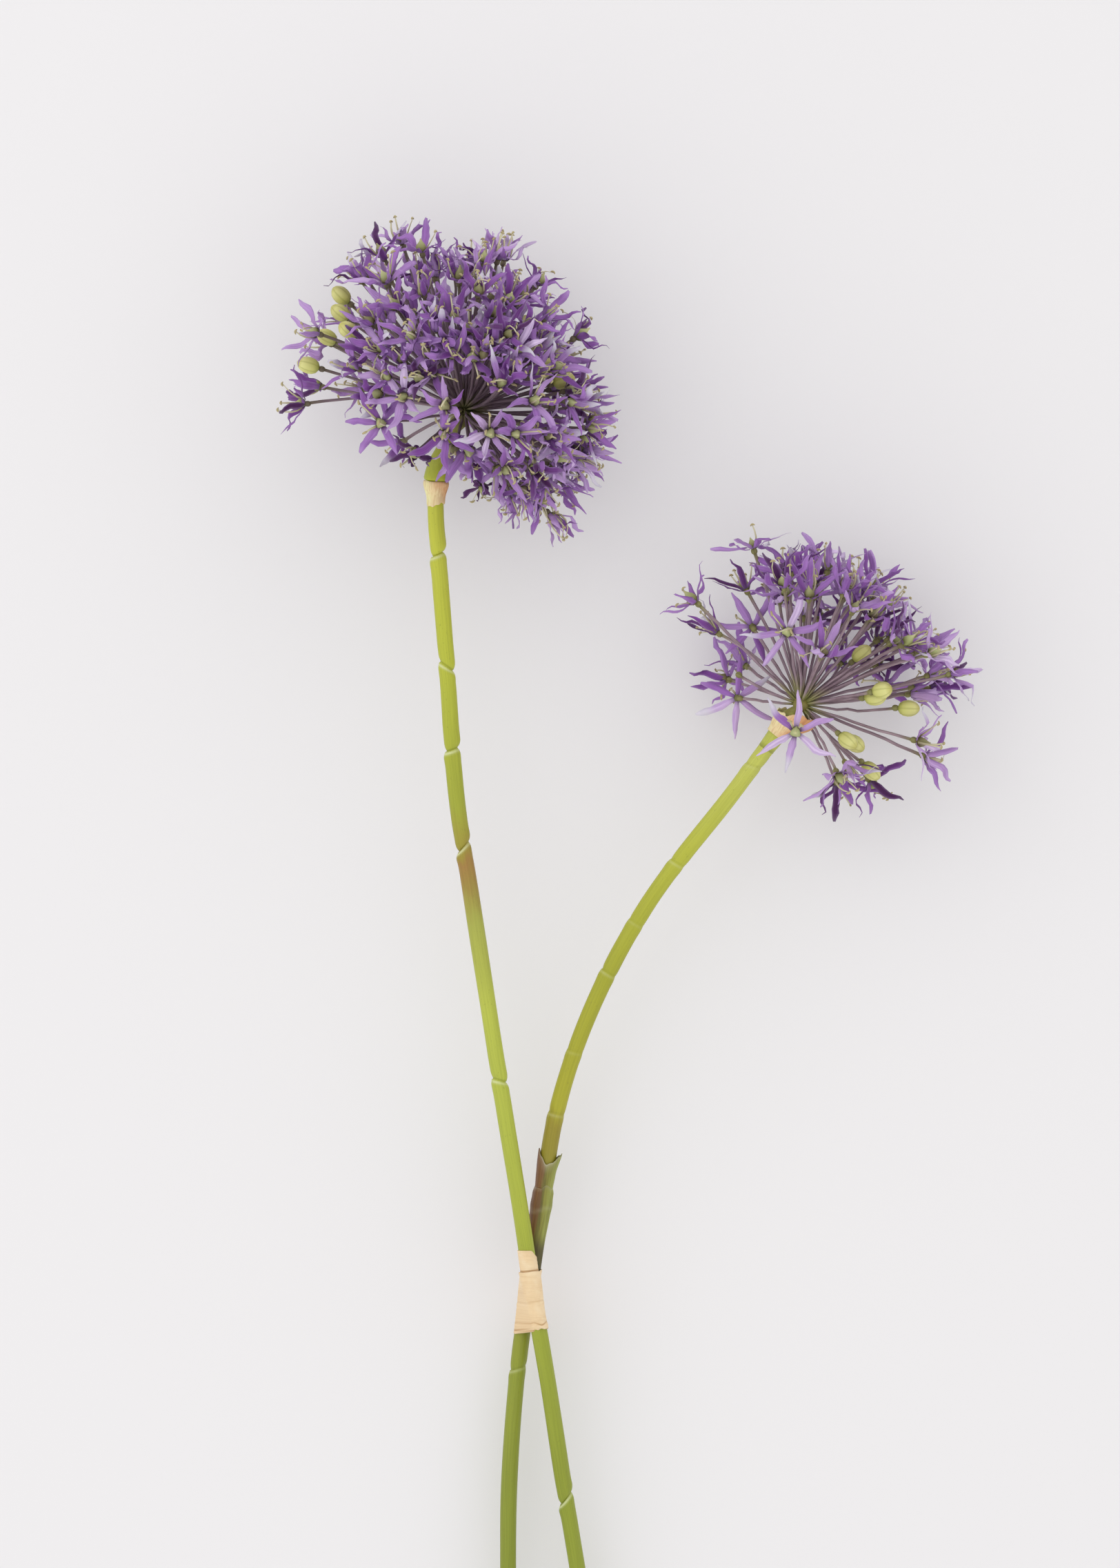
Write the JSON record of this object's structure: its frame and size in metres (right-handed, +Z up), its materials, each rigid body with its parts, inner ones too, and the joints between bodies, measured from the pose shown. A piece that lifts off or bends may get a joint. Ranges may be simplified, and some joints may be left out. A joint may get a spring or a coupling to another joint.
{
  "type": "bunch of dried allium",
  "caption": "Dried purple allium flower stems crossed and tied with paper tape, lying on a surface; star florets and buds radiate on thin stalks from each stem's tip.",
  "frame": {"origin": "on the surface that the bunch lies on, under the middle of its box", "axes": "+Y along the bunch from the cut stem ends to the flower heads, +Z up from the surface, +X to the right with the heads away from the viewer"},
  "size_m": [0.229, 0.5354, 0.1024],
  "materials": {
    "stem": "dried hollow flower stem, yellow-green, waxy, finely ribbed along its length",
    "tape": "crinkled tan paper tape, matt",
    "husk": "dry papery spathe remains, cream to peach",
    "sheath": "thin dried leaf sheath, brown and olive, slightly translucent",
    "floret": "papery purple tepals with an olive ovary on a mauve-brown stalk, matt",
    "bud": "closed cream-green bud, faintly ribbed, satin"
  },
  "bodies": {
    "root": {"bud_short_1": "bud", "bud_short_2": "bud", "bud_short_3": "bud", "bud_short_4": "bud", "bud_short_5": "bud", "bud_tall_1": "bud", "bud_tall_2": "bud", "bud_tall_3": "bud", "bud_tall_4": "bud", "bud_tall_5": "bud", "collar_tall": "husk", "floret_short_000": "floret", "floret_short_003": "floret", "floret_short_006": "floret", "floret_short_009": "floret", "floret_short_012": "floret", "floret_short_015": "floret", "floret_short_018": "floret", "floret_short_022": "floret", "floret_short_025": "floret", "floret_short_029": "floret", "floret_short_034": "floret", "floret_short_038": "floret", "floret_short_048": "floret", "floret_short_060": "floret", "floret_short_087": "floret", "floret_short_108": "floret", "floret_short_123": "floret", "floret_tall_000": "floret", "floret_tall_004": "floret", "floret_tall_008": "floret", "floret_tall_012": "floret", "floret_tall_016": "floret", "floret_tall_020": "floret", "floret_tall_024": "floret", "floret_tall_028": "floret", "floret_tall_032": "floret", "floret_tall_036": "floret", "floret_tall_041": "floret", "floret_tall_045": "floret", "floret_tall_049": "floret", "floret_tall_055": "floret", "floret_tall_060": "floret", "floret_tall_070": "floret", "floret_tall_075": "floret", "floret_tall_081": "floret", "floret_tall_086": "floret", "floret_tall_091": "floret", "floret_tall_098": "floret", "floret_tall_104": "floret", "floret_tall_109": "floret", "sheath_lower": "sheath", "sheath_upper": "sheath", "spathe_short": "husk", "stem_short": "stem", "stem_tall": "stem", "tie_tape": "tape"}
  },
  "joints": []
}
